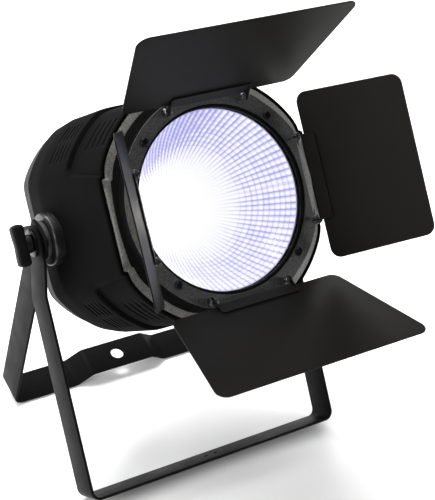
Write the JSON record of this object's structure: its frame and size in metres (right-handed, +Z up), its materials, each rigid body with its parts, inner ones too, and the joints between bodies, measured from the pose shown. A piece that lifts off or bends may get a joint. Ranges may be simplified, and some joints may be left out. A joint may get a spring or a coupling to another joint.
{
  "type": "par can light",
  "caption": "Round wash light with a four-leaf barn door, a moulded vented body that tilts between two U-brackets, and brackets that splay into a floor stand.",
  "frame": {"origin": "on the floor, under the middle of the overall box, with the light standing on its splayed brackets", "axes": "+Z up; -Y is the way the light faces; +X is to the right when looking along +Y at the lens; the head is aimed 30 degrees up"},
  "size_m": [0.2732, 0.3752, 0.4324],
  "materials": {
    "housing_plastic": "satin moulded",
    "powder_black": "fine granular powder coat",
    "leaf_black": "satin paint",
    "steel": "satin",
    "rubber_black": "matt",
    "alloy": "as extruded",
    "mirror": "faceted bright metal coating",
    "clear_glass": "polished",
    "brass": "turned",
    "circuit_board": "matt",
    "phosphor": "matt",
    "ceramic_white": "matt",
    "display_dark": "gloss",
    "hard_black": "moulded"
  },
  "bodies": {
    "front_stand": {"front_bracket": "powder_black", "left_washer": "steel", "right_washer": "steel"},
    "rear_stand": {"rear_bracket": "powder_black"},
    "left_clamp": {"left_knob": "housing_plastic", "left_knob_washer": "steel"},
    "right_clamp": {"right_knob": "housing_plastic", "right_knob_washer": "steel"},
    "left_door": {"left_leaf": "leaf_black", "left_hinge_strip": "powder_black"},
    "right_door": {"right_leaf": "leaf_black", "right_hinge_strip": "powder_black"},
    "top_door": {"top_leaf": "leaf_black", "top_hinge_strip": "powder_black"},
    "bottom_door": {"bottom_leaf": "leaf_black", "bottom_hinge_strip": "powder_black"},
    "button_1": {"menu_button_1": "rubber_black"},
    "button_2": {"menu_button_2": "rubber_black"},
    "button_3": {"menu_button_3": "rubber_black"},
    "button_4": {"menu_button_4": "rubber_black"},
    "fan": {"fan_rotor": "hard_black"},
    "head": {"bottom_hinge_screw_1": "steel", "bottom_hinge_screw_2": "steel", "control_board": "circuit_board", "display_window": "display_dark", "door_frame": "powder_black", "fan_frame": "hard_black", "frame_screw_1": "steel", "frame_screw_2": "steel", "frame_screw_3": "steel", "frame_screw_4": "steel", "front_bezel": "powder_black", "front_glass": "clear_glass", "fuse_cap": "hard_black", "glass_gasket": "rubber_black", "heatsink": "alloy", "led_board": "ceramic_white", "led_emitter": "phosphor", "left_friction_pad": "rubber_black", "left_hinge_screw_1": "steel", "left_hinge_screw_2": "steel", "left_insert": "brass", "main_housing": "housing_plastic", "power_inlet": "hard_black", "power_outlet": "hard_black", "power_supply": "alloy", "rear_cover": "housing_plastic", "reflector": "mirror", "right_friction_pad": "rubber_black", "right_hinge_screw_1": "steel", "right_hinge_screw_2": "steel", "right_insert": "brass", "safety_eye": "steel", "signal_in": "steel", "signal_out": "steel", "top_hinge_screw_1": "steel", "top_hinge_screw_2": "steel"}
  },
  "joints": [
    {"name": "stand_splay", "type": "hinge", "parent": "front_stand", "child": "rear_stand", "pos_m": [0, 0.07747, 0.20634], "axis": [1, 0, 0], "range_deg": [-48, 60]},
    {"name": "head_tilt", "type": "hinge", "parent": "front_stand", "child": "head", "pos_m": [0, 0.07747, 0.20634], "axis": [1, 0, 0], "range_deg": [-60, 40]},
    {"name": "left_clamp_turn", "type": "hinge", "parent": "head", "child": "left_clamp", "pos_m": [-0.125, 0.07747, 0.20634], "axis": [-1, 0, 0], "range_deg": [-45, 360]},
    {"name": "right_clamp_turn", "type": "hinge", "parent": "head", "child": "right_clamp", "pos_m": [0.125, 0.07747, 0.20634], "axis": [1, 0, 0], "range_deg": [-45, 360]},
    {"name": "right_leaf_hinge", "type": "hinge", "parent": "head", "child": "right_door", "pos_m": [0.076, -0.03944, 0.27384], "axis": [0, 0.5, 0.866], "range_deg": [-77, 74]},
    {"name": "left_leaf_hinge", "type": "hinge", "parent": "head", "child": "left_door", "pos_m": [-0.076, -0.03944, 0.27384], "axis": [0, -0.5, -0.866], "range_deg": [-77, 74]},
    {"name": "top_leaf_hinge", "type": "hinge", "parent": "head", "child": "top_door", "pos_m": [0, -0.00069, 0.34095], "axis": [1, 0, 0], "range_deg": [-78, 69]},
    {"name": "bottom_leaf_hinge", "type": "hinge", "parent": "head", "child": "bottom_door", "pos_m": [0, -0.07819, 0.20672], "axis": [-1, 0, 0], "range_deg": [-71, 76]},
    {"name": "button_press_1", "type": "slide", "parent": "head", "child": "button_1", "axis": [0, -0.866, 0.5], "range_m": [0, 0.0012], "stiffness_N_per_m": 350, "springref_m": -0.0006},
    {"name": "button_press_2", "type": "slide", "parent": "head", "child": "button_2", "axis": [0, -0.866, 0.5], "range_m": [0, 0.0012], "stiffness_N_per_m": 350, "springref_m": -0.0006},
    {"name": "button_press_3", "type": "slide", "parent": "head", "child": "button_3", "axis": [0, -0.866, 0.5], "range_m": [0, 0.0012], "stiffness_N_per_m": 350, "springref_m": -0.0006},
    {"name": "button_press_4", "type": "slide", "parent": "head", "child": "button_4", "axis": [0, -0.866, 0.5], "range_m": [0, 0.0012], "stiffness_N_per_m": 350, "springref_m": -0.0006},
    {"name": "fan_spin", "type": "hinge", "parent": "head", "child": "fan", "pos_m": [0, 0.10345, 0.19134], "axis": [0, 0.866, -0.5], "continuous": true}
  ]
}
